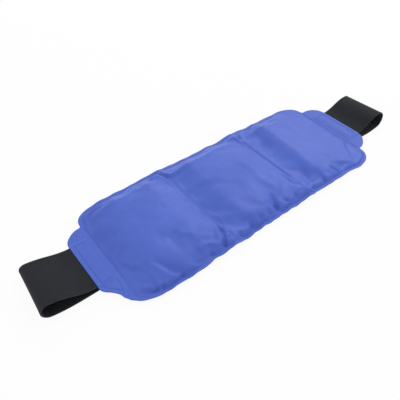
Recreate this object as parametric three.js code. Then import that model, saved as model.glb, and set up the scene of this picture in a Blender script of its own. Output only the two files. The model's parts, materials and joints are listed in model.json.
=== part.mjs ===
// A cold compression wrap: a flat gel pack in three panels, with a folded elastic strap at each end.
// X runs along the pack, Y across it and Z up from the surface it lies on. Sizes are in millimetres.
import * as THREE from 'three';

// The pack
const PANEL_LENGTH = 120;
const PACK_WIDTH = 152;
const PACK_HEIGHT = 18;
const CORNER_LENGTH = 34;
const CORNER_POWER = 2.4;
const RIM_WIDTH = 5;
const FOLD_LINE_WIDTH = 3.2;
const FOLD_RISE = 3.5;
const FOLD_LEAD = 26;
const SHEET = 0.4;

// How far the fill takes to swell to its full thickness from a side, a fold line and an end
const topRuns = { side: 18, fold: 30, end: 40 };
const underRuns = { side: 12, fold: 20, end: 12 };

// The tab at each end, which holds the tail of a strap
const TAB_LENGTH = 24;
const TAB_WIDTH = 103;
const TAB_SHOULDER = 2;
const TAB_LIFT = 1.5;
const TAB_SPREAD = 2.5;

// The straps
const STRAP_WIDTH = 62;
const WEBBING = 1.5;
const LOOP_RADIUS = 9;
const LEFT_LOOP_REACH = 56.5;
const RIGHT_LOOP_REACH = 52;
const STRAP_SETBACK = 18;
const RAMP_LENGTH = 14;

// The hook and loop patches and their stitching
const PATCH_LENGTH = 52;
const PATCH_MARGIN = 3;
const PATCH_THICKNESS = 1;
const THREAD = 0.3;
const THREAD_WIDTH = 0.8;
const THREAD_INSET = 2.5;

// Clearances
const GAP = 0.3;
const FOLD_GAP = 0.9;
const STRAP_GAP = 0.5;
const CHANNEL_MARGIN = 1.5;
const CHANNEL_FLANK = 6;
const WELD_CLEARANCE = 0.25;

// What follows from them
const HALF_WIDTH = PACK_WIDTH / 2;
const FOLD_AT = PANEL_LENGTH / 2;
const PACK_END = 1.5 * PANEL_LENGTH;
const TAB_END = PACK_END + TAB_LENGTH;
const STRAP_END = FOLD_AT + STRAP_SETBACK;
const PATCH_STACK = PATCH_THICKNESS + THREAD + 2 * GAP;
const CHANNEL_HEIGHT = WEBBING + PATCH_STACK + GAP;
const CHANNEL_HALF = STRAP_WIDTH / 2 + CHANNEL_MARGIN;
const UNDER_WELD = CHANNEL_HEIGHT + WELD_CLEARANCE;
const WELD_HALF = SHEET + GAP / 2;
const WELD_HEIGHT = UNDER_WELD + WELD_HALF;
const TAB_EDGE_WIDTH = STRAP_WIDTH + 2 * TAB_SHOULDER;
const TAB_EDGE_HEIGHT = WELD_HEIGHT + TAB_LIFT;

const film = { color: 0x5a6ec7, roughness: 0.45, metalness: 0 };
const gelFill = { color: 0x3f63d0, roughness: 0.2, metalness: 0 };
const webbing = { color: 0x26272b, roughness: 0.9, metalness: 0 };
const hookTape = { color: 0x1c1d20, roughness: 0.7, metalness: 0 };
const loopTape = { color: 0x202126, roughness: 0.95, metalness: 0 };
const thread = { color: 0x303238, roughness: 0.6, metalness: 0 };

function piece(name, geometry, look) {
  const mesh = new THREE.Mesh(geometry, new THREE.MeshStandardMaterial(look));
  mesh.name = name;
  return mesh;
}

// Rises from 0 to 1 as a quarter sine over the given run.
function swell(distance, run) {
  return Math.sin((Math.PI / 2) * THREE.MathUtils.clamp(distance / run, 0, 1));
}

// Splits each square of a block's lower face along the same diagonal as the square above it, so that
// blocks with the same places nest without crossing.
function splitAlike(block) {
  const { start, count } = block.groups[5];
  for (let i = start; i < start + count; i += 6) {
    const [a, b, d, , c] = block.index.array.slice(i, i + 6);
    block.index.array.set([a, b, c, a, c, d], i);
  }
}

// A block divided at the given places along X and across Y, with its two faces bent to follow
// upper(x, y) and lower(x, y). acrossAt(x) gives the places across Y at x.
function slab(along, acrossAt, upper, lower) {
  const columns = along.length - 1;
  const rows = acrossAt(along[0]).length - 1;
  const block = new THREE.BoxGeometry(1, 1, 1, columns, rows, 1);
  const corners = block.attributes.position;
  for (let i = 0; i < corners.count; i += 1) {
    const x = along[Math.round((corners.getX(i) + 0.5) * columns)];
    const y = acrossAt(x)[Math.round((corners.getY(i) + 0.5) * rows)];
    const face = corners.getZ(i) > 0 ? upper : lower;
    corners.setXYZ(i, x, y, face(x, y));
  }
  splitAlike(block);
  block.computeVertexNormals();
  return block;
}

function mirrored(places) {
  return [...places.slice(1).reverse().map((place) => -place), ...places];
}

// Half the pack's width at a distance from its centre: full, then drawn in to the tab at the ends.
function packHalfWidth(x) {
  const intoCorner = Math.max(0, Math.abs(x) - (PACK_END - CORNER_LENGTH)) / CORNER_LENGTH;
  return TAB_WIDTH / 2 + (HALF_WIDTH - TAB_WIDTH / 2) * Math.sqrt(1 - intoCorner ** CORNER_POWER);
}

// The height of the welds: the fill on both sides lifts each fold line above the rim.
function weldHeight(x) {
  return WELD_HEIGHT + FOLD_RISE * (1 - swell(Math.abs(Math.abs(x) - FOLD_AT), FOLD_LEAD));
}

// Places across a panel: the strap channel and its flank, then closer and closer towards the rim.
function acrossPanel(x) {
  const half = packHalfWidth(x);
  const channelEdge = CHANNEL_HALF + CHANNEL_FLANK;
  const shoulder = half - RIM_WIDTH - channelEdge;
  const toRim = [0.6, 0.3, 0.12, 0].map((share) => half - RIM_WIDTH - share * shoulder);
  return mirrored([0, CHANNEL_HALF, channelEdge, ...toRim, half]);
}

// Distances along a panel from its fold line, and from the rim at the pack's end.
const fromFold = [3, 9, 17, 27];
const fromEnd = [28, 19, 12, 7, 3];

// Places along the middle panel, and along the panel at the right end, which add the strap channel's start.
function alongMiddlePanel() {
  const edge = FOLD_AT - FOLD_GAP / 2;
  const weld = FOLD_AT - FOLD_LINE_WIDTH / 2;
  return mirrored([0, ...fromFold.map((inside) => weld - inside).reverse(), weld, edge]);
}

function alongEndPanel() {
  const weld = FOLD_AT + FOLD_LINE_WIDTH / 2;
  const rim = PACK_END - RIM_WIDTH;
  const inner = fromFold.map((inside) => weld + inside);
  const outer = fromEnd.map((inside) => rim - inside);
  const channelStart = STRAP_END - CHANNEL_MARGIN;
  const beside = inner.filter((place) => place < channelStart - CHANNEL_FLANK - 1);
  const beyond = inner.filter((place) => place > channelStart + 1);
  const edges = [rim + RIM_WIDTH / 2, PACK_END - FOLD_GAP / 2];
  const start = [FOLD_AT + FOLD_GAP / 2, weld];
  const channel = [channelStart - CHANNEL_FLANK, channelStart];
  return [...start, ...beside, ...channel, ...beyond, PANEL_LENGTH, ...outer, rim, ...edges];
}

// How full the pack is at a place, from 0 on a weld to 1 where it is thickest.
function middleFill(x, y, runs) {
  return swell(FOLD_AT - FOLD_LINE_WIDTH / 2 - Math.abs(x), runs.fold)
    * swell(HALF_WIDTH - RIM_WIDTH - Math.abs(y), runs.side);
}

function endFill(x, y, runs) {
  return swell(x - FOLD_AT - FOLD_LINE_WIDTH / 2, runs.fold)
    * swell(PACK_END - RIM_WIDTH - x, runs.end)
    * swell(packHalfWidth(x) - RIM_WIDTH - Math.abs(y), runs.side);
}

// How far a place lies inside the channel that the folded strap lies in: 1 inside, 0 clear of it.
function channelShare(x, y) {
  const across = (CHANNEL_HALF + CHANNEL_FLANK - Math.abs(y)) / CHANNEL_FLANK;
  const along = (x - (STRAP_END - CHANNEL_MARGIN - CHANNEL_FLANK)) / CHANNEL_FLANK;
  return THREE.MathUtils.clamp(Math.min(across, along), 0, 1);
}

// One panel of the pack: its top sheet, its under sheet and the gel between them.
function panel(side, along, fill, hollow) {
  const topFace = (x, y) => {
    const weldTop = weldHeight(x) + WELD_HALF;
    return weldTop + (PACK_HEIGHT - weldTop) * fill(x, y, topRuns);
  };
  const underFace = (x, y) => {
    const resting = (weldHeight(x) - WELD_HALF) * (1 - fill(x, y, underRuns));
    return Math.max(resting, CHANNEL_HEIGHT * hollow(x, y));
  };
  const inside = (x) => acrossPanel(x).slice(2, -2);
  const gelAlong = along.filter((x) => fill(x, 0, topRuns) > 0);
  return [
    piece(`cover_top_${side}`, slab(along, acrossPanel, topFace, (x, y) => topFace(x, y) - SHEET), film),
    piece(`cover_bottom_${side}`, slab(along, acrossPanel, (x, y) => underFace(x, y) + SHEET, underFace), film),
    piece(
      `gel_${side}`,
      slab(
        gelAlong,
        inside,
        (x, y) => topFace(x, y) - SHEET - GAP,
        (x, y) => underFace(x, y) + SHEET + GAP,
      ),
      gelFill,
    ),
  ];
}

// Half the tab's width at a distance from the fold line it hangs on: an elliptical corner.
function tabHalfWidth(x) {
  const out = Math.min(1, (x - PACK_END) / TAB_LENGTH);
  return TAB_EDGE_WIDTH / 2 + ((TAB_WIDTH - TAB_EDGE_WIDTH) / 2) * Math.sqrt(1 - out ** 2);
}

// Places across a tab: over the strap's tail, where the sheets meet beside it, and the edge.
function acrossTab(x) {
  const half = tabHalfWidth(x);
  const overTail = Math.min(STRAP_WIDTH / 2 + GAP * 2, 0.9 * half);
  const besideTail = Math.min(STRAP_WIDTH / 2 + CHANNEL_FLANK, 0.96 * half);
  return mirrored([0, overTail, besideTail, half]);
}

// Places along a tab, closer together as its round corner turns in.
function alongTab() {
  const start = PACK_END + FOLD_GAP / 2;
  const curved = [0.38, 0.57, 0.74, 0.86, 0.95].map((share) => PACK_END + share * TAB_LENGTH);
  return [start, start + TAB_SPREAD, ...curved, TAB_END];
}

// The tab slopes up from the weld, so that the strap leaves it rising.
function tabMiddle(x) {
  return WELD_HEIGHT + (TAB_LIFT * (x - PACK_END)) / TAB_LENGTH;
}

// The tab's two sheets part around the strap's tail and lie together beside it.
function tabParting(x, y) {
  const along = (x - PACK_END - FOLD_GAP / 2) / TAB_SPREAD;
  const across = (STRAP_WIDTH / 2 + CHANNEL_FLANK - Math.abs(y)) / (CHANNEL_FLANK - GAP * 2);
  const share = THREE.MathUtils.clamp(Math.min(along, across), 0, 1);
  return GAP / 2 + (WEBBING / 2 + GAP / 2) * share;
}

function tab(side) {
  const along = alongTab();
  const over = (x, y) => tabMiddle(x) + tabParting(x, y);
  const under = (x, y) => tabMiddle(x) - tabParting(x, y);
  const tailStart = PACK_END + FOLD_GAP / 2 + TAB_SPREAD + GAP;
  const acrossTail = () => [-STRAP_WIDTH / 2, STRAP_WIDTH / 2];
  const tail = slab(
    [tailStart, TAB_END],
    acrossTail,
    (x) => tabMiddle(x) + WEBBING / 2,
    (x) => tabMiddle(x) - WEBBING / 2,
  );
  return [
    piece(`tab_sheet_top_${side}`, slab(along, acrossTab, (x, y) => over(x, y) + SHEET, over), film),
    piece(`tab_sheet_bottom_${side}`, slab(along, acrossTab, under, (x, y) => under(x, y) - SHEET), film),
    piece(`strap_tail_${side}`, tail, webbing),
  ];
}

// A strip of webbing that follows a curve drawn in X and Z, as wide as the strap.
function webbingAlong(curves) {
  const points = [];
  const normals = [];
  for (const { curve, steps } of curves) {
    for (let i = points.length ? 1 : 0; i <= steps; i += 1) {
      const tangent = curve.getTangent(i / steps);
      points.push(curve.getPoint(i / steps));
      normals.push(new THREE.Vector2(-tangent.y, tangent.x));
    }
  }
  const offset = (side) => points.map((p, i) => p.clone().addScaledVector(normals[i], (side * WEBBING) / 2));
  const outline = new THREE.Shape([...offset(1), ...offset(-1).reverse()]);
  const strip = new THREE.ExtrudeGeometry(outline, { depth: STRAP_WIDTH, bevelEnabled: false });
  strip.rotateX(Math.PI / 2);
  strip.translate(0, STRAP_WIDTH / 2, 0);
  return strip;
}

// The strap rises from the tab, turns down in a round loop and comes back along the floor.
function strap(side, reach, patchBelow) {
  const loopX = TAB_END + reach - LOOP_RADIUS - WEBBING / 2;
  const loopZ = LOOP_RADIUS + WEBBING / 2;
  const halfGap = GAP / 2 / LOOP_RADIUS;
  const slope = TAB_LIFT / TAB_LENGTH;
  const start = new THREE.Vector2(TAB_END + STRAP_GAP, TAB_EDGE_HEIGHT + slope * STRAP_GAP);
  const crest = new THREE.Vector2(loopX, loopZ + LOOP_RADIUS);
  const handle = (crest.x - start.x) * 0.45;
  const rise = new THREE.CubicBezierCurve(
    start,
    new THREE.Vector2(start.x + handle, start.y + slope * handle),
    new THREE.Vector2(crest.x - handle, crest.y),
    crest,
  );
  const turn = (from, to) => new THREE.EllipseCurve(loopX, loopZ, LOOP_RADIUS, LOOP_RADIUS, from, to, true);
  const upperCut = Math.PI / 4;
  const lowerCut = -Math.PI / 4;
  const outer = webbingAlong([
    { curve: rise, steps: 10 },
    { curve: turn(Math.PI / 2, upperCut + halfGap), steps: 4 },
  ]);
  const bend = webbingAlong([{ curve: turn(upperCut - halfGap, lowerCut + halfGap), steps: 8 }]);

  const floorZ = WEBBING / 2;
  const raisedZ = floorZ + (patchBelow ? PATCH_STACK : 0);
  const rampX = STRAP_END + PATCH_LENGTH + PATCH_MARGIN + RAMP_LENGTH;
  const back = new THREE.LineCurve(new THREE.Vector2(loopX, floorZ), new THREE.Vector2(rampX, floorZ));
  const ramp = new THREE.CubicBezierCurve(
    new THREE.Vector2(rampX, floorZ),
    new THREE.Vector2(rampX - RAMP_LENGTH / 2, floorZ),
    new THREE.Vector2(rampX - RAMP_LENGTH / 2, raisedZ),
    new THREE.Vector2(rampX - RAMP_LENGTH, raisedZ),
  );
  const end = new THREE.LineCurve(
    new THREE.Vector2(rampX - RAMP_LENGTH, raisedZ),
    new THREE.Vector2(STRAP_END, raisedZ),
  );
  const home = webbingAlong([
    { curve: turn(lowerCut - halfGap, -Math.PI / 2), steps: 4 },
    { curve: back, steps: 1 },
    { curve: ramp, steps: 4 },
    { curve: end, steps: 1 },
  ]);
  return [
    piece(`strap_outer_${side}`, outer, webbing),
    piece(`strap_bend_${side}`, bend, webbing),
    piece(`strap_return_${side}`, home, webbing),
  ];
}

// The patch near the strap's free end, and the stitched line around it on its outer face.
function patch(name, look, below) {
  const patchWidth = STRAP_WIDTH - 2 * PATCH_MARGIN;
  const patchX = STRAP_END + PATCH_MARGIN + PATCH_LENGTH / 2;
  const sheetZ = below ? THREAD + GAP : WEBBING + GAP;
  const threadZ = below ? 0 : sheetZ + PATCH_THICKNESS + GAP;
  const sheet = new THREE.BoxGeometry(PATCH_LENGTH, patchWidth, PATCH_THICKNESS);
  sheet.translate(patchX, 0, sheetZ + PATCH_THICKNESS / 2);

  const corner = new THREE.Vector2(PATCH_LENGTH / 2 - THREAD_INSET, patchWidth / 2 - THREAD_INSET);
  const rectangle = (x, y) => [
    new THREE.Vector2(-x, -y),
    new THREE.Vector2(x, -y),
    new THREE.Vector2(x, y),
    new THREE.Vector2(-x, y),
  ];
  const line = new THREE.Shape(rectangle(corner.x, corner.y));
  line.holes.push(new THREE.Path(rectangle(corner.x - THREAD_WIDTH, corner.y - THREAD_WIDTH)));
  const stitching = new THREE.ExtrudeGeometry(line, { depth: THREAD, bevelEnabled: false });
  stitching.translate(patchX, 0, threadZ);
  return [piece(name, sheet, look), piece(`${name}_stitching`, stitching, thread)];
}

// One end of the wrap, drawn on the +X side; the left end is the same turned half round.
function endOfWrap(side, reach, patchPieces) {
  const end = new THREE.Group();
  end.add(...panel(side, alongEndPanel(), endFill, channelShare));
  end.add(...tab(side));
  end.add(...strap(side, reach, side === 'right'));
  end.add(...patchPieces);
  return end;
}

const wrap = new THREE.Group();
wrap.add(...panel('middle', alongMiddlePanel(), middleFill, () => 0));
wrap.add(endOfWrap('right', RIGHT_LOOP_REACH, patch('loop_patch', loopTape, true)));
const leftEnd = endOfWrap('left', LEFT_LOOP_REACH, patch('hook_patch', hookTape, false));
leftEnd.rotation.z = Math.PI;
wrap.add(leftEnd);

export default wrap;
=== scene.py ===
import json
import math

import bpy
import numpy as np
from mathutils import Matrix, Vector


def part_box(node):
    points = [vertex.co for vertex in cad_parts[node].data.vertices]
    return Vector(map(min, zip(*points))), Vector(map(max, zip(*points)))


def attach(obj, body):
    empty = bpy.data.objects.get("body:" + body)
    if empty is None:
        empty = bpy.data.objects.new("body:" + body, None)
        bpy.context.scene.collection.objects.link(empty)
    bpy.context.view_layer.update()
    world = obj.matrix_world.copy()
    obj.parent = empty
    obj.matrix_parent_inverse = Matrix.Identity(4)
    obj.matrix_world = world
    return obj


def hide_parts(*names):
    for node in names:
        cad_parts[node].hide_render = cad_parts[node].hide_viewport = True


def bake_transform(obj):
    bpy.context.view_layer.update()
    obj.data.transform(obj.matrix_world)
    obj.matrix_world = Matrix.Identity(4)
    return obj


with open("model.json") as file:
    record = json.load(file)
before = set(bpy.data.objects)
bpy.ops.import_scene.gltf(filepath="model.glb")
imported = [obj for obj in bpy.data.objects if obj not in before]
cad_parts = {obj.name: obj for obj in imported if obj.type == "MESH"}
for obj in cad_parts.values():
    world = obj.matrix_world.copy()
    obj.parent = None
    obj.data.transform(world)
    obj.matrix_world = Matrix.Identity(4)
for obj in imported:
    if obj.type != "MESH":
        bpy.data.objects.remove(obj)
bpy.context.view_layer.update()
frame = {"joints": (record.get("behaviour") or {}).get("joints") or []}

# A cold compression wrap: a soft gel pack in three panels, with a folded elastic strap at each end.
# Shapes are worked out in millimetres, X along the wrap, Y across it, Z up; meshes are in metres.
mm = 0.001
tiny = 1e-12  # keeps a division whole where a normal has no length


def span(node):  # lowest and highest corner of a CAD node, in millimetres
    low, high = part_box(node)
    return np.array(low) / mm, np.array(high) / mm


def hinge(name):  # a point on a joint's axis, in millimetres
    return np.array(next(j["pos_m"] for j in frame["joints"] if j["name"] == name)) / mm


def share(value):  # kept between 0 and 1
    return np.clip(value, 0, 1)


def smooth(value):  # 3t^2 - 2t^3 between 0 and 1
    t = share(value)
    return t * t * (3 - 2 * t)


def rise(value, start, run):  # a smooth step: 0 up to the start, 1 a run further on
    return smooth((value - start) / run)


def fall(value, stop, run):  # a smooth step: 1 until a run before the stop, 0 past it
    return smooth((stop - value) / run)


def swell(value):  # a quarter sine from 0 to 1
    return np.sin(np.pi / 2 * share(value))


def softMin(a, b, width):  # the lower of two heights, rounded over a width
    near = np.maximum(width - np.abs(a - b), 0) / width
    return np.minimum(a, b) - near * near * width / 4


def softMax(a, b, width):  # the higher of two heights, rounded in the same way
    return -softMin(-a, -b, width)


def bell(distance, width):  # exp(-(distance / width)^2)
    return np.exp(-((distance / width) ** 2))


def waves(x, y, lengths, seed):
    # the mean of sines that run in seeded directions, one for each wavelength
    rng = np.random.default_rng(seed)
    total = 0
    for length in lengths:
        turn, phase = rng.uniform(0, 2 * np.pi, 2)
        total = total + np.sin(2 * np.pi / length * (x * np.cos(turn) + y * np.sin(turn)) + phase)
    return total / len(lengths)


# Every body here is a stack of rings. A ring runs over the top from -Y to +Y, down the edge,
# back underneath, and up the other edge, so that two grids and two edges close into one skin.
edgePoints = 4


def makeRings(top, bottom, edgeUp, edgeDown):
    return np.concatenate([top, edgeUp, bottom[:, ::-1], edgeDown[:, ::-1]], axis=1)


def ringQuads(count, around):  # the quads from each ring to the next, all the way round
    i, k = np.meshgrid(np.arange(count - 1), np.arange(around), indexing="ij")
    onward = (k + 1) % around
    corners = [i * around + k, (i + 1) * around + k, (i + 1) * around + onward, i * around + onward]
    return np.stack(corners, -1).reshape(-1, 4)


def capNumbers(ringStart, across, firstNew):
    # point numbers of a ring's end: top row, four rows between, bottom row
    grid = np.empty((edgePoints + 2, across), int)
    grid[0] = ringStart + np.arange(across)
    grid[-1] = ringStart + across + edgePoints + np.arange(across)[::-1]
    grid[1:-1, -1] = ringStart + across + np.arange(edgePoints)
    grid[1:-1, 0] = ringStart + 2 * (across + edgePoints) - 1 - np.arange(edgePoints)
    grid[1:-1, 1:-1] = firstNew + np.arange(edgePoints * (across - 2)).reshape(edgePoints, -1)
    return grid


def capQuads(grid, atEnd):  # the quads of an end's grid, turned to face outwards
    a, b, c, d = grid[:-1, :-1], grid[:-1, 1:], grid[1:, 1:], grid[1:, :-1]
    corners = [b, a, d, c] if atEnd else [a, b, c, d]
    return np.stack(corners, -1).reshape(-1, 4)


def pointNormals(points, quads):  # the sum of the crossed diagonals of the quads at each point
    a, b, c, d = [points[quads[:, corner]] for corner in range(4)]
    diagonals = np.cross(c - a, d - b)
    total = np.zeros_like(points)
    for corner in range(4):
        np.add.at(total, quads[:, corner], diagonals)
    return total / np.maximum(np.linalg.norm(total, axis=1, keepdims=True), tiny)


def ringNormals(rings):
    count, around, _ = rings.shape
    return pointNormals(rings.reshape(-1, 3), ringQuads(count, around)).reshape(rings.shape)


def meshObject(name, points, quads, normals=None, uv=None, marks=None):
    # points in millimetres, in place; normals and uv are given for each corner of each quad
    mesh = bpy.data.meshes.new(name)
    mesh.vertices.add(len(points))
    mesh.vertices.foreach_set("co", (points * mm).astype(np.float32).ravel())
    mesh.loops.add(quads.size)
    mesh.loops.foreach_set("vertex_index", quads.astype(np.int32).ravel())
    mesh.polygons.add(len(quads))
    mesh.polygons.foreach_set("loop_start", np.arange(0, quads.size, 4, dtype=np.int32))
    mesh.update(calc_edges=True)
    mesh.shade_smooth()
    if uv is not None:
        mesh.uv_layers.new(name="surface").data.foreach_set("uv", uv.astype(np.float32).ravel())
    for key, values in (marks or {}).items():
        mesh.attributes.new(key, "FLOAT", "POINT").data.foreach_set("value", values.astype(np.float32))
    if normals is not None:
        mesh.normals_split_custom_set(normals.reshape(-1, 3).tolist())
    piece = bpy.data.objects.new(name, mesh)
    bpy.context.scene.collection.objects.link(piece)
    return piece


def solid(name, rings, cutNormals=(None, None), caps=(None, None), uv=None, marks=None):
    # rings closed at both ends; an end with cut normals meets another piece and has a flat cap
    count, around, _ = rings.shape
    across = around // 2 - edgePoints
    points, quads, flats = [rings.reshape(-1, 3)], [ringQuads(count, around)], []
    fresh = count * around
    for end, cap in enumerate(caps):
        start = end * (count - 1) * around
        grid = capNumbers(start, across, fresh)
        if cap is None:
            ring = rings[-1] if end else rings[0]
            top, bottom = ring[:across], ring[across + edgePoints:2 * across + edgePoints][::-1]
            down = np.arange(1, edgePoints + 1)[:, None, None] / (edgePoints + 1)
            cap = top + (bottom - top) * down
        points.append(cap[:, 1:-1].reshape(-1, 3))
        fresh += edgePoints * (across - 2)
        flats.append((sum(len(q) for q in quads), capQuads(grid, end)))
        quads.append(flats[-1][1])
    points, quads = np.concatenate(points), np.concatenate(quads)
    normals = pointNormals(points, quads)
    for end, given in enumerate(cutNormals):
        if given is not None:
            start = end * (count - 1) * around
            normals[start:start + around] = given
    normals = normals[quads]
    for (first, capFaces), given in zip(flats, cutNormals):
        if given is not None:
            corners = points[capFaces]
            facing = np.cross(corners[:, 2] - corners[:, 0], corners[:, 3] - corners[:, 1]).sum(0)
            normals[first:first + len(capFaces)] = facing / np.linalg.norm(facing)
    if uv is not None:
        uv = np.concatenate([uv.reshape(-1, 2), np.zeros((len(points) - count * around, 2))])[quads]
    spare = np.zeros(len(points) - count * around)
    marks = {key: np.concatenate([values.ravel(), spare]) for key, values in (marks or {}).items()}
    return meshObject(name, points, quads, normals, uv, marks)


class Wire:
    # a socket of a material: arithmetic on it adds Math nodes
    def __init__(self, finish, socket):
        self.finish, self.socket = finish, socket

    def maths(self, operation, *others):
        return self.finish.node("ShaderNodeMath", {"operation": operation}, [self, *others])

    def __add__(self, other):
        return self.maths("ADD", other)

    def __mul__(self, other):
        return self.maths("MULTIPLY", other)

    def __sub__(self, other):
        return self.maths("SUBTRACT", other)

    def __rsub__(self, other):
        return self.finish.node("ShaderNodeMath", {"operation": "SUBTRACT"}, [other, self])

    __radd__, __rmul__ = __add__, __mul__


class Finish:
    # a material that is built up from wires
    def __init__(self, name):
        self.material = bpy.data.materials.new(name)
        self.material.use_nodes = True
        self.tree = self.material.node_tree
        self.tree.nodes.clear()

    def node(self, kind, settings=None, inputs=None, output=0):
        made = self.tree.nodes.new(kind)
        for key, value in (settings or {}).items():
            if key == "stops":
                ramp = made.color_ramp.elements
                while len(ramp) < len(value):
                    ramp.new(1)
                for stop, (place, colour) in zip(ramp, value):
                    stop.position, stop.color = place, (*colour, 1)
            else:
                setattr(made, key, value)
        pairs = inputs.items() if isinstance(inputs, dict) else enumerate(inputs or [])
        for key, value in pairs:
            if isinstance(value, Wire):
                self.tree.links.new(value.socket, made.inputs[key])
            else:
                made.inputs[key].default_value = value
        return Wire(self, made.outputs[output]) if made.outputs else None

    def coordinates(self, output="Object"):
        return self.node("ShaderNodeTexCoord", output=output)

    def noise(self, place, scale, detail=2.0, roughness=0.5):
        settings = {"Vector": place, "Scale": scale, "Detail": detail, "Roughness": roughness}
        return self.node("ShaderNodeTexNoise", inputs=settings)

    def ramp(self, wire, stops):
        return self.node("ShaderNodeValToRGB", {"stops": stops}, [wire])

    def mix(self, factor, a, b):  # two colours, by a factor
        return self.node("ShaderNodeMix", {"data_type": "RGBA"}, {0: factor, 6: a, 7: b}, output=2)

    def sine(self, wire):
        return self.node("ShaderNodeMath", {"operation": "SINE"}, [wire])

    def stretch(self, place, scales):
        return self.node("ShaderNodeVectorMath", {"operation": "MULTIPLY"}, [place, scales])

    def parts(self, place):
        separate = self.node("ShaderNodeSeparateXYZ", inputs=[place])
        return [Wire(self, socket) for socket in separate.socket.node.outputs]

    def bump(self, height, distance, strength=1.0, under=None):
        inputs = {"Strength": strength, "Distance": distance, "Height": height}
        if under:
            inputs["Normal"] = under
        return self.node("ShaderNodeBump", inputs=inputs)

    def surface(self, colour, roughness, normal=None, **fixed):
        inputs = {"Base Color": colour, "Roughness": roughness, **fixed}
        if normal:
            inputs["Normal"] = normal
        shader = self.node("ShaderNodeBsdfPrincipled", inputs=inputs)
        self.node("ShaderNodeOutputMaterial", inputs=[shader])
        return self.material


def rgba(colour):
    return (*colour, 1.0)


filmLook = {
    "deep": (0.064, 0.120, 0.530),
    "plain": (0.073, 0.134, 0.570),
    "pale": (0.083, 0.150, 0.610),
    "welded": (0.072, 0.132, 0.560),
    # the next colour is shade painted along the pressed lines and into sunk creases and pockets
    "pressed": (0.045, 0.080, 0.380),
    "toneStops": (0.3, 0.5, 0.72),
    "cloudScale": 26.0, "mottleScale": 240.0, "cloudShare": 0.8, "mottleShare": 0.2,
    "grainScale": 1900.0, "grainDepth": 0.00012, "grainStrength": 0.45,
    "rippleScale": 75.0, "rippleDepth": 0.0008, "rippleStrength": 0.35,
    "weldTintAndShade": 0.6,
    "roughness": 0.48, "cloudRoughness": 0.12, "grainRoughness": 0.08, "weldRoughness": 0.06,
    "gloss": 0.30,
}


def filmFinish(look):
    # soft blue film: faint clouds of tone, a fine grain, shallow ripples, smoother where it is welded, and
    # painted shade along the pressed lines and in sunk creases and pockets
    film = Finish("film")
    place = film.coordinates()
    clouds = film.noise(place, look["cloudScale"], 3.0, 0.55)
    mottle = film.noise(place, look["mottleScale"], 2.0)
    tones = zip(look["toneStops"], (look["deep"], look["plain"], look["pale"]))
    tone = film.ramp(clouds * look["cloudShare"] + mottle * look["mottleShare"], list(tones))
    weld = film.node("ShaderNodeAttribute", {"attribute_name": "weld"}, output="Fac")
    # the weld mark tints the welded film; the second mark paints shade along pressed lines and in sunk
    # creases and pockets
    pressed = film.node("ShaderNodeAttribute", {"attribute_name": "pressed"}, output="Fac")
    colour = film.mix(weld * look["weldTintAndShade"], tone, rgba(look["welded"]))
    colour = film.mix(pressed * look["weldTintAndShade"], colour, rgba(look["pressed"]))
    grain = film.noise(place, look["grainScale"], 3.0, 0.6)
    ripples = film.noise(place, look["rippleScale"], 2.0, 0.45)
    shallow = film.bump(ripples, look["rippleDepth"], look["rippleStrength"])
    fine = film.bump(grain, look["grainDepth"], look["grainStrength"], under=shallow)
    middle = look["roughness"] - (look["cloudRoughness"] + look["grainRoughness"]) / 2
    roughness = clouds * look["cloudRoughness"] + grain * look["grainRoughness"] + middle
    roughness = roughness + weld * look["weldRoughness"]
    return film.surface(colour, roughness, fine, **{"Specular IOR Level": look["gloss"]})


webbingLook = {
    "ribPitch": 1.5, "pickPitch": 0.9,
    # the first colour is painted shade in the weave's furrows, the second the colour on its ribs
    "furrowShade": (0.009, 0.010, 0.013),
    "yarn": (0.022, 0.024, 0.031),
    # the lighter colour of the painted highlight on the woven edges
    "selvedge": (0.060, 0.064, 0.074),
    "ribShare": 0.32, "pickShare": 0.18, "pickShift": 0.9,
    "weaveDepth": 0.00035, "weaveStrength": 0.7,
    "fuzzScale": 1500.0, "fuzzDepth": 0.0001, "fuzzStrength": 0.5,
    "wearScale": 45.0, "weaveShade": 0.6, "wearTint": 0.4,
    "selvedgeHighlightPower": 3.0, "selvedgeHighlight": 0.6,
    "roughness": 0.86, "wearRoughness": 0.1,
    "gloss": 0.16, "sheen": 0.08, "sheenRoughness": 0.5,
}


def webbingFinish(look):
    # elastic webbing: ribs along the strap crossed by fine picks, both sines of the surface's
    # own millimetres; the picks shift with the ribs. The weave's furrows get painted shade, wear
    # noise varies the tone at random, and the woven edges get a painted highlight
    webbing = Finish("webbing")
    across, along, _ = webbing.parts(webbing.coordinates("UV"))
    rib = webbing.sine(across * (2 * math.pi / look["ribPitch"]))
    pick = webbing.sine(along * (2 * math.pi / look["pickPitch"]) + rib * look["pickShift"])
    weave = rib * look["ribShare"] + pick * look["pickShare"] + 0.5
    atEdge = webbing.node("ShaderNodeAttribute", {"attribute_name": "edge"}, output="Fac")
    # a painted highlight along the woven edges
    selvedge = webbing.node("ShaderNodeMath", {"operation": "POWER"}, [atEdge, look["selvedgeHighlightPower"]])
    place = webbing.coordinates("Object")
    fuzz = webbing.noise(place, look["fuzzScale"], 3.0, 0.6)
    wear = webbing.noise(place, look["wearScale"], 3.0)
    shade = weave * look["weaveShade"] + wear * look["wearTint"]
    colour = webbing.mix(shade, rgba(look["furrowShade"]), rgba(look["yarn"]))
    colour = webbing.mix(selvedge * look["selvedgeHighlight"], colour, rgba(look["selvedge"]))
    normal = webbing.bump(weave, look["weaveDepth"], look["weaveStrength"])
    normal = webbing.bump(fuzz, look["fuzzDepth"], look["fuzzStrength"], under=normal)
    roughness = wear * look["wearRoughness"] + (look["roughness"] - look["wearRoughness"] / 2)
    fixed = {"Specular IOR Level": look["gloss"], "Sheen Weight": look["sheen"]}
    return webbing.surface(colour, roughness, normal, **fixed, **{"Sheen Roughness": look["sheenRoughness"]})


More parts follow.
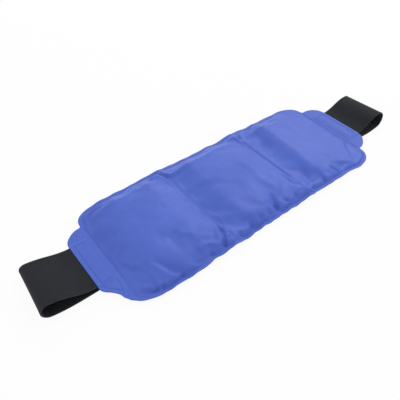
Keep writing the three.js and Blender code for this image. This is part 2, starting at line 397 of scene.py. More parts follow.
hookLook = {
    # the second colour is a painted highlight on each hook's peak
    "base": (0.012, 0.013, 0.015), "tip": (0.045, 0.046, 0.052),
    "pitch": 0.0014, "scatter": 0.12, "spotSize": 2.0, "height": 0.0006,
    "roughness": 0.55, "tipSmoothness": 0.15, "gloss": 0.4,
}
loopLook = {
    # the first colour is painted shade in the pile's hollows, the second a painted highlight where it stands
    # high
    "base": (0.014, 0.015, 0.018), "tip": (0.040, 0.042, 0.048),
    "tangleScale": 900.0, "tuftScale": 260.0, "tangleShare": 0.6, "tuftShare": 0.4, "height": 0.0008,
    "roughness": 0.87, "tuftRoughness": 0.1, "gloss": 0.15,
}
threadLook = {
    # the first colour is painted shade between the plies, the second a painted highlight on their crests
    "base": (0.018, 0.019, 0.022), "tip": (0.050, 0.052, 0.060),
    "plyScale": 9000.0, "height": 0.0001,
    "roughness": 0.7, "plySmoothness": 0.1, "gloss": 0.3,
}


def hookFinish(look):
    # rows of tiny moulded hooks: round spots on a grid one pitch apart, each lighter at its peak as a painted
    # highlight
    hooks = Finish("hookTape")
    place = hooks.stretch(hooks.coordinates(), (1 / look["pitch"], 1 / look["pitch"], 0.0))
    cells = {"Vector": place, "Scale": 1.0, "Randomness": look["scatter"]}
    spots = hooks.node("ShaderNodeTexVoronoi", inputs=cells)
    clamped = {"operation": "MULTIPLY", "use_clamp": True}
    peak = 1 - hooks.node("ShaderNodeMath", clamped, [spots, look["spotSize"]])
    colour = hooks.mix(peak, rgba(look["base"]), rgba(look["tip"]))
    roughness = look["roughness"] - peak * look["tipSmoothness"]
    normal = hooks.bump(peak, look["height"])
    return hooks.surface(colour, roughness, normal, **{"Specular IOR Level": look["gloss"]})


def loopFinish(look):
    # brushed loops: two scales of tangled noise, lighter where the pile stands high as painted highlight and
    # darker in its hollows as painted shade
    loops = Finish("loopTape")
    place = loops.coordinates()
    tangle = loops.noise(place, look["tangleScale"], 4.0, 0.7)
    tufts = loops.noise(place, look["tuftScale"], 3.0, 0.6)
    pile = tangle * look["tangleShare"] + tufts * look["tuftShare"]
    colour = loops.mix(pile, rgba(look["base"]), rgba(look["tip"]))
    roughness = tufts * look["tuftRoughness"] + look["roughness"]
    normal = loops.bump(pile, look["height"])
    return loops.surface(colour, roughness, normal, **{"Specular IOR Level": look["gloss"]})


def threadFinish(look):
    # twisted thread: slanting stripes along each stitch, a sine of x + y + z, lighter on each ply's crest as
    # painted highlight and darker between as painted shade
    thread = Finish("thread")
    x, y, z = thread.parts(thread.coordinates())
    ply = thread.sine((x + y + z) * look["plyScale"]) * 0.5 + 0.5
    colour = thread.mix(ply, rgba(look["base"]), rgba(look["tip"]))
    roughness = look["roughness"] - ply * look["plySmoothness"]
    normal = thread.bump(ply, look["height"])
    return thread.surface(colour, roughness, normal, **{"Specular IOR Level": look["gloss"]})


finishes = {
    "film": filmFinish(filmLook),
    "webbing": webbingFinish(webbingLook),
    "hook_tape": hookFinish(hookLook),
    "loop_tape": loopFinish(loopLook),
    "thread": threadFinish(threadLook),
}
print("materials made")


def dress(piece, slotName):
    piece.data.materials.append(finishes[slotName])


# The cover. Its main sizes come from the frame.
cover = {
    "half": span("cover_top_middle")[1][1],
    "fold": hinge("right_fold")[0],
    "foldHeight": hinge("right_fold")[2] + 3.6,
    "end": hinge("right_tab_flex")[0],
    "rimHeight": hinge("right_tab_flex")[2],
    "tip": span("tab_sheet_top_right")[1][0],
    "tabHalf": span("tab_sheet_top_right")[1][1],
    "tipHalf": 33.0,
    "tabRise": hinge("right_strap_swing")[2] - hinge("right_tab_flex")[2],
    "cornerLength": 34.0,
    "cornerPower": 2.4,
    "notchRadius": 3.5,
    "sheet": 0.4,
    "seam": 0.15,
    "lip": 0.3,
    "foldLead": 26.0,
    "tailHalf": span("strap_outer_right")[1][1],
    "tailLift": 0.75,
    "channelHeight": 3.75,
    "channelHalf": 32.5,
    "channelStart": 77.5,
    "channelFlank": 6.0,
    "channelPast": 3.0,
    "channelRound": 0.6,
    # where the weld is lifted at the folds, how softly the tab starts, and where its sheets part
    "liftFrom": 45.0, "liftRun": 25.0, "tabEase": 3.0,
    "partFrom": 2.5, "partRun": 3.0, "partFlank": 3.5,
    # the tab's mouth round the strap
    "mouthClear": 0.8, "mouthRun": 1.2, "mouthLip": 0.15, "mouthDepth": 3.0,
}
gridSize = {
    "halfColumns": 204, "corner": 44, "notch": 8, "tab": 46, "halfRows": 75, "rowPower": 1.35, "fan": 3.5,
    "samples": 400, "tipSamples": 40, "cornerPace": 1.05,
    # how columns crowd at the fold, and how evenly the middle line's places run out to the tip
    "evenPace": 0.9, "foldPace": 1.6, "paceRun": 9.0, "paceShift": 0.4, "steady": 0.55, "easing": 0.45,
}
rollTurns = np.radians(np.linspace(54, -54, edgePoints))  # the turns of a rim's rounded edge


def outline():
    # half the cover's edge as columns, from its middle to its tip: a straight side, a superellipse
    # corner, a quarter circle into the notch, and a quarter ellipse round the tab's corner
    c, g = cover, gridSize
    straight = g["halfColumns"] - g["corner"] - g["notch"] - g["tab"]
    cornerStart, notchTop = c["end"] - c["cornerLength"], c["tabHalf"] + c["notchRadius"]
    places = np.linspace(0, cornerStart, g["samples"])
    farFromFold = smooth(np.abs(places - c["fold"]) / g["paceRun"] - g["paceShift"])
    pace = 1 / (g["evenPace"] + g["foldPace"] * farFromFold)
    travelled = np.concatenate([[0], np.cumsum((pace[1:] + pace[:-1]) / 2)])
    sideX = np.interp(np.linspace(0, 1, straight + 1), travelled / travelled[-1], places)
    a = np.linspace(0, 1, g["corner"] + 1)[1:] ** g["cornerPace"] * np.pi / 2
    cornerX = cornerStart + c["cornerLength"] * np.sin(a) ** (2 / c["cornerPower"])
    cornerY = notchTop + (c["half"] - notchTop) * np.cos(a)
    b = np.linspace(0, 1, g["notch"] + 1)[1:] * np.pi / 2
    notchX = c["end"] + c["notchRadius"] * (1 - np.cos(b))
    notchY = notchTop - c["notchRadius"] * np.sin(b)
    t = np.linspace(0, 1, g["tab"] + 1)[1:] * np.pi / 2
    tabX = notchX[-1] + (c["tip"] - notchX[-1]) * np.sin(t)
    tabY = c["tipHalf"] + (c["tabHalf"] - c["tipHalf"]) * np.cos(t)
    edgeX = np.concatenate([sideX, cornerX, notchX, tabX])
    edgeY = np.concatenate([np.full_like(sideX, c["half"]), cornerY, notchY, tabY])
    steps = np.linspace(0, 1, len(edgeX) - straight)
    eased = g["steady"] * steps + g["easing"] * (2 * smooth(0.5 + steps / 2) - 1)
    middleX = np.concatenate([sideX[:-1], cornerStart + (c["tip"] - cornerStart) * eased])
    return edgeX, edgeY, middleX


def coverGrid():
    # x fans from the middle line's places to the edge's by |v|^fan, y is v times the half width;
    # also the distance of each point to the edge
    edgeX, edgeY, middleX = outline()
    rows = np.linspace(0, 1, gridSize["halfRows"] + 1)
    v = 1 - (1 - rows) ** gridSize["rowPower"]
    x = middleX[:, None] + (edgeX - middleX)[:, None] * v ** gridSize["fan"]
    y = edgeY[:, None] * v
    tipY = np.linspace(edgeY[-1], 0, gridSize["tipSamples"])
    borderX = np.concatenate([edgeX, np.full_like(tipY, edgeX[-1])])
    borderY = np.concatenate([edgeY, tipY])
    gap = np.hypot(x[..., None] - borderX, y[..., None] - borderY).min(-1)
    columns = np.arange(-gridSize["halfColumns"], gridSize["halfColumns"] + 1)
    lines = np.arange(-gridSize["halfRows"], gridSize["halfRows"] + 1)
    pick = np.ix_(np.abs(columns), np.abs(lines))
    return x[pick] * np.sign(columns)[:, None], y[pick] * np.sign(lines)[None, :], gap[pick]


fill = {
    # heights and runs of the filled panels, in millimetres; pairs are for the far and the near long side
    "base": (8.2, 2.8), "crown": (5.0, 10.2), "crownRun": (36.0, 40.0),
    "slope": (1.04, 1.1), "rounding": (1.8, 2.4), "rim": (5.0, 3.6),
    "sideRun": 60.0, "endWeld": 2.0,
    "ridge": 1.7, "ridgeGap": 23.5, "ridgeWidth": 5.5, "ridgeFrom": 20.0, "ridgeRun": 30.0,
    "endRun": 46.0, "foldRun": 34.0, "foldOpen": 0.5, "foldGap": 0.7, "openFrom": 46.0, "openRun": 18.0,
    "lean": 0.06, "crestAt": 97.0, "settle": 0.66, "endWall": 12.0,
    "crestRound": 0.22,
    "underSide": 12.0, "underFold": 20.0, "underEnd": 12.0,
    "rimLift": 0.44,
}


def nearness(y):  # 0 on the far long side, 1 on the near one, with a smooth step between
    return smooth(0.5 - y / fill["sideRun"])


def between(pair, nearSide):  # from the pair's far value to its near one
    return pair[0] + (pair[1] - pair[0]) * nearSide


creaseEnds = {"past": 0.25, "run": 0.5}  # how a crease fades past both ends, as shares of its length


def crease(x, y, start, end, width, height, lean=0.0):
    # a bell across the line from start to end, faded at both ends; lean narrows one of its sides
    along = np.array(end, float) - np.array(start, float)
    length = np.hypot(*along)
    t = ((x - start[0]) * along[0] + (y - start[1]) * along[1]) / length ** 2
    off = ((y - start[1]) * along[0] - (x - start[0]) * along[1]) / length
    past, run = creaseEnds["past"], creaseEnds["run"]
    fade = rise(t, -past, run) * fall(t, 1 + past, run)
    return height * bell(off, width * (1 + lean * np.sign(off))) * fade


creases = [
    # start, end, width, height, lean: rolls and folds of the film, in millimetres
    ((-98, -60), (-86, -59), 4.5, 1.8, 0.0),
    ((-86, -59), (-76, -67), 4.0, 2.0, 0.2),
    ((-112, -67), (-90, -70), 3.6, -2.0, 0.0),
    ((-59, -45), (-71, -73), 2.8, -2.6, -0.2),
    ((-145, -45), (-130, -74), 3.4, -1.9, 0.3),
    ((-142, -62), (-136, -76), 3.0, 1.2, 0.0),
    ((-157, -69), (-166, -66), 3.2, -3.2, 0.0),
    ((-166, -66), (-174, -60), 3.0, -2.4, 0.0),
    ((-176, -66), (-180, -57), 3.0, -2.0, 0.0),
    ((-170, -59), (-162, -65), 3.4, 1.7, 0.4),
    ((-126, -22), (-112, -46), 8.0, -1.0, 0.0),
    ((-118, -33), (-106, -29), 4.2, -1.3, 0.3),
    ((-104, -31), (-92, -42), 4.4, 1.2, 0.0),
    ((-79, 59), (-70, 66), 3.0, 1.4, 0.0),
    ((-68, 67), (-58, 47), 3.2, -2.0, 0.2),
    ((53, 67), (57, 52), 4.0, 1.0, 0.0),
    ((66, 69), (60, 54), 3.0, -2.2, 0.0),
    ((31, 8), (45, -38), 8.0, 1.2, 0.2),
    ((22, 16), (29, -12), 5.0, 0.7, 0.0),
    ((39, 0), (50, -28), 4.5, 0.8, 0.0),
    ((53, -18), (57, -50), 4.0, 0.9, 0.0),
    ((106, 56), (99, 17), 8.0, 1.0, 0.0),
    ((98, 14), (95, -22), 8.0, 1.0, 0.0),
    ((95, -26), (88, -50), 7.0, 0.8, 0.0),
    ((84, 46), (74, -10), 9.0, -0.8, 0.0),
    ((79, -40), (71, -66), 5.0, -1.5, 0.0),
    ((-50, 40), (-50, -30), 9.0, -0.3, 0.0),
    ((-79, 44), (-79, -34), 9.0, 0.9, 0.0),
    ((128, 12), (138, -16), 5.0, 0.7, 0.0),
    ((134, 40), (130, 14), 4.5, 0.7, 0.0),
    ((120, -22), (131, -44), 4.5, 0.7, 0.0),
    ((16, -50), (11, -70), 2.8, -1.9, 0.0),
    ((-90, 54), (-86, 28), 6.0, 0.7, 0.0),
    ((-72, 18), (-94, 10), 6.0, 0.6, 0.0),
    ((48, -48), (52, -62), 4.0, 0.9, 0.0),
    ((114, -58), (118, -70), 2.2, -2.0, 0.0),
    ((156, 44), (146, 18), 6.0, 0.6, 0.0),
    ((152, 0), (149, -30), 6.0, 0.5, 0.0),
]
pockets = {
    # each pocket's dent, the share of shade painted into its hollow, and how the rim gathers there
    "depth": 2.2, "width": 2.6, "reach": 3.8, "paintedShade": 0.55, "gather": 1.0, "gatherWidth": 5.0,
    "places": [
        (-88, -70), (-70, -71), (-48, -69), (-30, -68), (-15, -66), (-1, -66), (12, -65),
        (28, -65), (43, -67), (71, -71), (93, -69), (-152, -70), (-128, -71),
    ],
}


def weldHeight(x, y):
    # the weld's height: level round the rim, lifted along the folds, and rising up each tab
    c = cover
    ax, ay = np.abs(x), np.abs(y)
    lifted = 1 - swell(np.abs(ax - c["fold"]) / c["foldLead"])
    lifted = lifted * (1 - (1 - fill["rimLift"]) * rise(ay, c["liftFrom"], c["liftRun"]))
    beyond = softMax(ax - c["end"], 0 * ax, c["tabEase"])
    level = c["rimHeight"] + (c["foldHeight"] - c["rimHeight"]) * lifted
    return level + beyond * c["tabRise"] / (c["tip"] - c["end"])


def coverHeights(x, y, gap):
    # top and underside heights: the weld's height, plus or minus the fill that swells between the welds.
    # The fill is the lower of a wall that rises from the rim and a dome, which sinks to each end and fold
    c, f = cover, fill
    ax, ay = np.abs(x), np.abs(y)
    weldAt = c["end"] - f["endWeld"]
    fromFold = np.abs(ax - c["fold"])
    weldZ = weldHeight(x, y)
    nearSide = nearness(y)
    inside = np.maximum(gap - between(f["rim"], nearSide), 0)
    crowned = swell(inside / between(f["crownRun"], nearSide))
    dome = between(f["base"], nearSide) + between(f["crown"], nearSide) * crowned
    ridge = f["ridge"] * bell(gap - f["ridgeGap"], f["ridgeWidth"])
    dome = dome + ridge * rise(y, f["ridgeFrom"], f["ridgeRun"])
    toEnd = swell((weldAt - ax) / f["endRun"])
    settled = share((x - f["crestAt"]) / (weldAt - f["crestAt"]))
    lowEnd = (1 - f["settle"] * settled * (2 - settled)) * swell((weldAt - ax) / f["endWall"])
    toEnd = np.where(x > f["crestAt"], lowEnd, toEnd)
    risen = (fromFold - f["foldGap"]) / (f["foldRun"] + np.where(x > c["fold"], f["lean"] * y, 0))
    straight = softMin(np.maximum(risen, 0), 1 + 0 * x, f["crestRound"])
    risen = np.where(x > c["fold"], straight, swell(risen))
    openEnd = 1 - (1 - f["foldOpen"]) * rise(ay, f["openFrom"], f["openRun"])
    toFold = 1 - openEnd * (1 - risen)
    wall = between(f["slope"], nearSide) * inside
    high = np.maximum(softMin(wall, dome * toEnd * toFold, between(f["rounding"], nearSide)), 0)
    low = swell(inside / f["underSide"]) * swell((fromFold - f["foldGap"]) / f["underFold"])
    low = low * swell((weldAt - ax) / f["underEnd"])
    parted = rise(ax - c["end"], c["partFrom"], c["partRun"])
    parted = parted * fall(ay, c["tailHalf"] + c["partFlank"], c["partFlank"])
    skin = c["sheet"] + c["seam"] + c["tailLift"] * parted
    top = weldZ + skin + high
    bottom = (weldZ - skin) * (1 - low)
    channel = share((c["channelHalf"] + c["channelFlank"] - ay) / c["channelFlank"])
    channel = smooth(channel) * smooth((ax - c["channelStart"] + c["channelFlank"]) / c["channelFlank"])
    channel = channel * (ax < c["end"] + c["channelPast"])
    bottom = softMax(bottom, c["channelHeight"] * channel, c["channelRound"])
    return top, np.maximum(bottom, 0), high


pressLines = {
    # pressed lines, in millimetres: where each lies, how wide it is, how softly it ends and how deep
    # it is, from 0 to 1, which also sets the shade painted along it; pairs are for the right and the left end
    "fold": {"apart": 1.3, "width": 0.7, "half": 49.0, "near": (41, 60), "ease": 3, "deep": (1.0, 0.32)},
    "root": {"inwards": 1.5, "width": (1.5, 0.9), "half": 50.0, "ease": 3, "deep": (1.4, 0.5)},
    "frame": {
        "inner": (8.0, 4.5), "near": (30.2, 51.0), "half": 30.2, "tip": 4.5, "width": 0.6,
        "rung": 29.6, "rungIn": 0.7, "rungOut": 3.8, "ease": 1.2, "nearEase": 1.5,
    },
    "corner": {"gap": 4.6, "width": 0.6, "from": 4, "ease": 1.5, "near": -30, "nearEase": 3},
    "rim": {"width": 0.9, "ease": 4, "steady": 0.55, "uneven": 0.35, "lengths": (19, 31), "seed": 3},
    # painted shade of the tuck inside the near left corner, also pressed in a little: gap, its width, place
    # along, its length, depth
    "tuckShades": [(5.2, 1.9, -161, 11.0, 0.75), (3.9, 1.0, -150, 24.0, 0.7)],
    "depth": 0.85,
}


def weldLines(x, y, gap):
    # pressed lines along both folds, across each tab's root, round the strap's tail, inside one
    # tab's corner and along the rim: bells across each line, cut off by smooth steps at its ends. The same
    # values paint shade along the lines, and the tucks paint shade into the near left corner
    c = cover
    fold, root, frame, corner, rim = [pressLines[key] for key in ("fold", "root", "frame", "corner", "rim")]
    ax, ay = np.abs(x), np.abs(y)
    left = x < 0

    def atEnd(pair):
        return np.where(left, pair[1], pair[0])

    foldLine = bell(np.abs(np.abs(ax - c["fold"]) - fold["apart"]), fold["width"])
    foldLine = foldLine * fall(ay, fold["half"], fold["ease"])
    foldLine = foldLine * smooth((atEnd(fold["near"]) + y) / fold["ease"]) * atEnd(fold["deep"])
    rootLine = bell(ax - (c["end"] - root["inwards"]), atEnd(root["width"]))
    rootLine = rootLine * fall(ay, root["half"], root["ease"]) * atEnd(root["deep"])
    innerX, ease, half = c["end"] + atEnd(frame["inner"]), frame["ease"], frame["half"]
    inner = bell(ax - innerX, frame["width"]) * fall(y, half, ease)
    inner = inner * smooth((y + atEnd(frame["near"])) / frame["nearEase"])
    outer = bell(ax - (c["tip"] - frame["tip"]), frame["width"]) * fall(ay, half, ease)
    rungs = bell(ay - frame["rung"], frame["width"]) * smooth((ax - innerX + frame["rungIn"]) / ease)
    rungs = rungs * fall(ax, c["tip"] - frame["rungOut"], ease)
    cornerLine = bell(gap - corner["gap"], corner["width"])
    cornerLine = cornerLine * rise(ax - c["end"], corner["from"], corner["ease"])
    cornerLine = cornerLine * fall(y, corner["near"], corner["nearEase"]) * left
    rimLine = bell(gap - between(fill["rim"], nearness(y)), rim["width"])
    rimLine = rimLine * fall(ax, c["end"] - fill["endWeld"], rim["ease"])
    rimLine = rimLine * (rim["steady"] + rim["uneven"] * waves(x, 0 * y, rim["lengths"], rim["seed"]))
    # painted shade in the near left corner, pressed in a little
    for tuckGap, width, place, length, depth in pressLines["tuckShades"]:
        tuckShade = depth * bell(gap - tuckGap, width) * bell(x - place, length)
        rimLine = np.maximum(rimLine, tuckShade * (y < 0))
    shallow = np.maximum.reduce([foldLine, inner, outer, rungs, cornerLine])
    return np.maximum.reduce([pressLines["depth"] * shallow, rootLine, rimLine])


draws = [
    # place, width of the pull, and the move in X and Y: corners that are not quite regular
    (-182, -54, 7.0, -4.4, -5.0),
    (-182, -53, 4.0, -1.2, -1.6),
    (-178, -64, 10.0, -2.6, -2.2),
    (-198, -46, 8.0, 1.4, 2.2),
    (-160, 73, 16.0, 0.6, -1.6),
    (-197, 47, 11.0, 0.9, -1.2),
    (198, -46, 10.0, -1.3, 1.3),
    (84, 76, 8.0, 0.0, 1.4),
    (-83, 75, 9.0, 0.0, 1.2),
    (65, -74, 8.0, 0.0, -1.6),
    (-24, -77, 9.0, 0.0, 1.0),
]


rimMoves = {
    # each step is its start and its run, in millimetres
    "rim": (52, 22), "endClear": 12, "endRun": 20,
    "inOut": 0.75, "inOutLengths": (17, 22, 31), "inOutSeed": 11, "sideShift": 40,
    "upDown": 0.6, "upDownLengths": (15, 20, 28), "upDownSeed": 5, "upDownSlant": 0.4, "upDownFill": 5,
    # the long near edge: amounts drawn in from two places on, up to a stop; and out further left
    "edge": (40, 30), "drawn": ((1.5, -30, 20), (0.9, 40, 15)), "drawnTo": (155, 15),
    "letOut": 1.4, "letOutTo": (-96, 16), "letOutFrom": (-190, 16),
}


def rimPlay(x, y, high):
    # how the finished skin is moved: the rim gathers in at the pockets, weaves in and out and up and
    # down, and the long near edge and the corners are drawn in or out
    m = rimMoves
    ax = np.abs(x)
    outer, near = rise(np.abs(y), *m["rim"]), rise(-y, *m["rim"])
    along = fall(ax, cover["end"] - m["endClear"], m["endRun"])
    sway = waves(x, 0 * y + np.sign(y) * m["sideShift"], m["inOutLengths"], m["inOutSeed"])
    dy = m["inOut"] * sway * outer * along
    for px, _ in pockets["places"]:
        dy = dy + pockets["gather"] * bell(x - px, pockets["gatherWidth"]) * near
    nearEdge = rise(-y, *m["edge"])
    drawn = sum(amount * rise(x, start, run) for amount, start, run in m["drawn"])
    dy = dy + nearEdge * drawn * fall(x, *m["drawnTo"])
    dy = dy - nearEdge * m["letOut"] * fall(x, *m["letOutTo"]) * rise(x, *m["letOutFrom"])
    dx = 0 * x
    for px, py, width, moveX, moveY in draws:
        pull = bell(np.hypot(x - px, y - py), width)
        dx, dy = dx + moveX * pull, dy + moveY * pull
    heave = waves(x, m["upDownSlant"] * y, m["upDownLengths"], m["upDownSeed"])
    dz = m["upDown"] * heave * (1 - smooth(high / m["upDownFill"])) * outer * along
    return dx, dy, dz


cloth = {
    # every third column and row of the top skin; growth is how much larger the cloth is than the shape
    "stride": 3, "frames": 20, "quality": 6, "pressure": 4.0, "growth": 0.05, "pinBelow": 0.8,
    "tension": 18.0, "shear": 6.0, "bending": 0.15, "damping": 3.0,
    "smoothing": 4.0, "limit": 2.4, "inner": 0.45, "edgeRun": 30.0,
}


def blurred(values, width):
    # a gaussian of the given width along both grid directions, with mirrored ends
    reach = int(3 * width)
    weights = bell(np.arange(-reach, reach + 1), width * math.sqrt(2))
    weights = weights / weights.sum()
    for axis in (0, 1):
        pads = [(reach, reach) if k == axis else (0, 0) for k in range(values.ndim)]
        padded = np.pad(values, pads, mode="reflect")
        count = values.shape[axis]
        values = sum(w * np.take(padded, np.arange(i, i + count), axis) for i, w in enumerate(weights))
    return values


def splineWeights(fineCount, stride):
    # cubic B-spline weights that bring values at every few places back to all of them
    place = np.arange(fineCount) / stride
    coarse = np.arange((fineCount - 1) // stride + 1)
    d = np.abs(place[:, None] - coarse[None, :])
    weights = np.where(d < 1, 2 / 3 - d ** 2 + d ** 3 / 2, np.where(d < 2, (2 - d) ** 3 / 6, 0))
    return weights / weights.sum(1, keepdims=True)


def billow(grid, high):
    # the top skin as cloth, held at its welds and pushed up by pressure: how its finer folds move it
    c = cloth
    coarse = grid[::c["stride"], ::c["stride"]]
    held = high[::c["stride"], ::c["stride"]] < c["pinBelow"]
    count, around, _ = coarse.shape
    i, k = np.meshgrid(np.arange(count - 1), np.arange(around - 1), indexing="ij")
    first = (i * around + k).ravel()
    quads = np.stack([first, first + around, first + around + 1, first + 1], -1)
    skin = meshObject("skinCloth", coarse.reshape(-1, 3), quads)
    pins = skin.vertex_groups.new(name="pins")
    pins.add(np.flatnonzero(held.ravel()).tolist(), 1.0, "REPLACE")
    settings = skin.modifiers.new("cloth", "CLOTH").settings
    settings.quality = c["quality"]
    settings.vertex_group_mass = "pins"
    settings.use_pressure, settings.uniform_pressure_force = True, c["pressure"]
    settings.shrink_min = -c["growth"]
    settings.tension_stiffness = settings.compression_stiffness = c["tension"]
    settings.shear_stiffness, settings.bending_stiffness = c["shear"], c["bending"]
    settings.air_damping = c["damping"]
    settings.effector_weights.gravity = 0
    skin.modifiers["cloth"].point_cache.frame_end = c["frames"]
    scene = bpy.context.scene
    for step in range(1, c["frames"] + 1):
        scene.frame_set(step)
    settled = skin.evaluated_get(bpy.context.evaluated_depsgraph_get()).data
    flat = np.empty(len(settled.vertices) * 3, np.float32)
    settled.vertices.foreach_get("co", flat)
    moved = flat.reshape(coarse.shape) / mm - coarse
    scene.frame_set(1)
    mesh = skin.data
    bpy.data.objects.remove(skin)
    bpy.data.meshes.remove(mesh)
    folds = moved - blurred(moved, c["smoothing"])
    folds = c["limit"] * np.tanh(folds / c["limit"])
    print("cloth moved", round(float(np.abs(moved).max()), 1), "folds", round(float(np.abs(folds).max()), 2))
    columns, rows = splineWeights(grid.shape[0], c["stride"]), splineWeights(grid.shape[1], c["stride"])
    return np.einsum("ai,ijk,bj->abk", columns, folds, rows)


relief = {
    # depth of the pressed lines, and how much fill the creases, pockets, waves and film need
    # below them to show in full, in millimetres
    "press": 0.5, "creaseFill": 2, "pocketFill": 1.6, "waveFill": 4, "weldFill": 1.5,
    # creases narrower than this get painted shade on the film where they sink, from a depth on
    "narrow": 4, "paintedShadeFrom": 0.9, "paintedShadeRun": 1.5,
    "wave": 0.3, "waveLengths": (21, 27, 33, 40, 52), "waveSeed": 7,
}


def buildCover():
    # the skin: fill and welds, minus the pressed lines, plus creases, pockets and long waves, then
    # the folds of the cloth and the rim's moves; sunk narrow creases and pockets add painted shade to the
    # mark
    r = relief
    x, y, gap = coverGrid()
    top, bottom, high = coverHeights(x, y, gap)
    pressed = weldLines(x, y, gap)
    top = top - r["press"] * np.minimum(pressed, 1)
    filled = smooth(high / r["waveFill"])
    sunk = 0 * top
    for start, end, width, height, lean in creases:
        fold = crease(x, y, start, end, width, height, lean) * smooth(high / r["creaseFill"])
        top = top + fold
        sunk = sunk - fold * (width < r["narrow"])
    for px, py in pockets["places"]:
        dent = bell(x - px, pockets["width"]) * bell(y - py, pockets["reach"])
        dent = pockets["depth"] * dent * smooth(high / r["pocketFill"])
        top, sunk = top - dent, sunk + dent
    # painted shade where narrow creases and pockets sink
    pressed = np.maximum(pressed, pockets["paintedShade"] * rise(sunk, r["paintedShadeFrom"], r["paintedShadeRun"]))
    top = top + r["wave"] * waves(x, y, r["waveLengths"], r["waveSeed"]) * filled
    dx, dy, dz = rimPlay(x, y, high)
    rising = cloth["inner"] + (1 - cloth["inner"]) * bell(gap, cloth["edgeRun"])
    folds = billow(np.stack([x, y, top], -1), high) * (filled * rising)[..., None]
    x, y, top = x + folds[..., 0], y + folds[..., 1], top + folds[..., 2]
    top = np.maximum(top, bottom + 2 * cover["sheet"])
    return x + dx, y + dy, top + dz, bottom + dz, high, pressed


def edgeRoll(x, y, top, bottom, side):
    # the rim's round outer edge at one long side: a half circle between the two sheets
    row = -1 if side > 0 else 0
    middle, half = (top[:, row] + bottom[:, row]) / 2, (top[:, row] - bottom[:, row]) / 2
    dx, dy = np.gradient(x[:, row]), np.gradient(y[:, row])
    size = np.hypot(dx, dy)
    outX, outY = -dy / size * side, dx / size * side
    out = cover["lip"] * np.cos(rollTurns)
    return np.stack([
        x[:, row, None] + outX[:, None] * out,
        y[:, row, None] + outY[:, None] * out,
        middle[:, None] + half[:, None] * np.sin(rollTurns),
    ], -1)


def tabMouth(ring, across, outward):
    # the end of a tab: a round lip, open for the strap where the two sheets part round it
    c = cover
    top, bottom = ring[:across], ring[across + edgePoints:2 * across + edgePoints][::-1]
    outerY = np.abs(top[:, 1])
    opening = fall(outerY, c["tailHalf"] + c["mouthClear"], c["mouthRun"])
    turn = rollTurns[:, None]
    middle, half = (top[:, 2] + bottom[:, 2]) / 2, (top[:, 2] - bottom[:, 2]) / 2
    closedX, closedZ = c["lip"] * np.cos(turn), middle + half * np.sin(turn)
    pocketX = np.array([c["mouthLip"], -c["mouthDepth"], -c["mouthDepth"], c["mouthLip"]])[:, None]
    pocketZ = middle + (half - c["sheet"]) * np.array([1, 1, -1, -1])[:, None]
    cap = np.empty((edgePoints, across, 3))
    cap[..., 0] = top[:, 0] + outward * (closedX + (pocketX - closedX) * opening)
    cap[..., 1] = top[:, 1]
    cap[..., 2] = closedZ + (pocketZ - closedZ) * opening
    return cap


def overRings(values, rim):
    # one value for each point of the rings, the same on both faces
    return makeRings(values, values, *[np.full((len(values), edgePoints), rim)] * 2)


x, y, top, bottom, high, pressed = buildCover()
topGrid, bottomGrid = np.stack([x, y, top], -1), np.stack([x, y, bottom], -1)
coverRings = makeRings(topGrid, bottomGrid, edgeRoll(x, y, top, bottom, 1), edgeRoll(x, y, top, bottom, -1))
coverNormals = ringNormals(coverRings)
across = topGrid.shape[1]
middleColumn = gridSize["halfColumns"]
panelMiddle = int(np.argmin(np.abs(x[middleColumn:, gridSize["halfRows"]] - 2 * cover["fold"])))
welded = 1 - smooth(high / relief["weldFill"])
# weld tints the welded film; the second mark carries the pressed lines and the shade painted along them and
# into sunk creases and pockets
coverMarks = {"weld": overRings(welded, 1.0), "pressed": overRings(pressed, 0.0)}


def coverPiece(name, first, last):
    # the cover between two columns, with its tab mouth where it holds an end of the wrap
    cuts, caps = [], []
    for column, tip, side in ((first, 0, -1), (last, len(coverRings) - 1, 1)):
        cuts.append(None if column == tip else coverNormals[column])
        caps.append(tabMouth(coverRings[column], across, side) if column == tip else None)
    marks = {key: values[first:last + 1] for key, values in coverMarks.items()}
    piece = solid(name, coverRings[first:last + 1], cuts, caps, marks=marks)
    dress(piece, "film")
    return piece


stops = [0, middleColumn - panelMiddle, middleColumn, middleColumn + panelMiddle, len(coverRings) - 1]
coverNames = ["coverEndLeft", "coverFoldLeft", "coverFoldRight", "coverEndRight"]
covers = [coverPiece(name, a, b) for name, a, b in zip(coverNames, stops[:-1], stops[1:])]
print("cover made", sum(len(p.data.vertices) for p in covers))


# The straps. Their path is drawn outwards from the pack in X and Z, once for each long edge of the
# strap, and turned half round for the left; the two edges' loops differ, so the webbing twists a little.
strap = {
    "half": span("strap_outer_right")[1][1],
    "thick": 1.5,
    "selvedge": 0.12,
    "selvedgeWidth": 2.5,
    "edgeEase": 1.2,
    "tailStart": cover["end"] + 6.3,
    "points": 340,
    "across": 33,
    "handle": 0.45,
    "pastTab": 0.5,
    "patchClear": 0.2,
    "samples": {"tail": 16, "rise": 60, "turn": 60, "back": 200},
    "rampLength": 14.0,
    "blendRise": 0.4,
    # loop radius and reach beyond the CAD's, at the near and the far edge, and how far across the
    # bend and the lower ply wander, in millimetres
    "left": {"radius": (0.4, -1.9), "reach": (2.0, -1.8), "wander": (3.2, -0.8)},
    "right": {"radius": (1.2, -0.6), "reach": (0.6, 0.2), "wander": (0.4, -4.8)},
    "wanderRun": (22.0, 42.0),
}


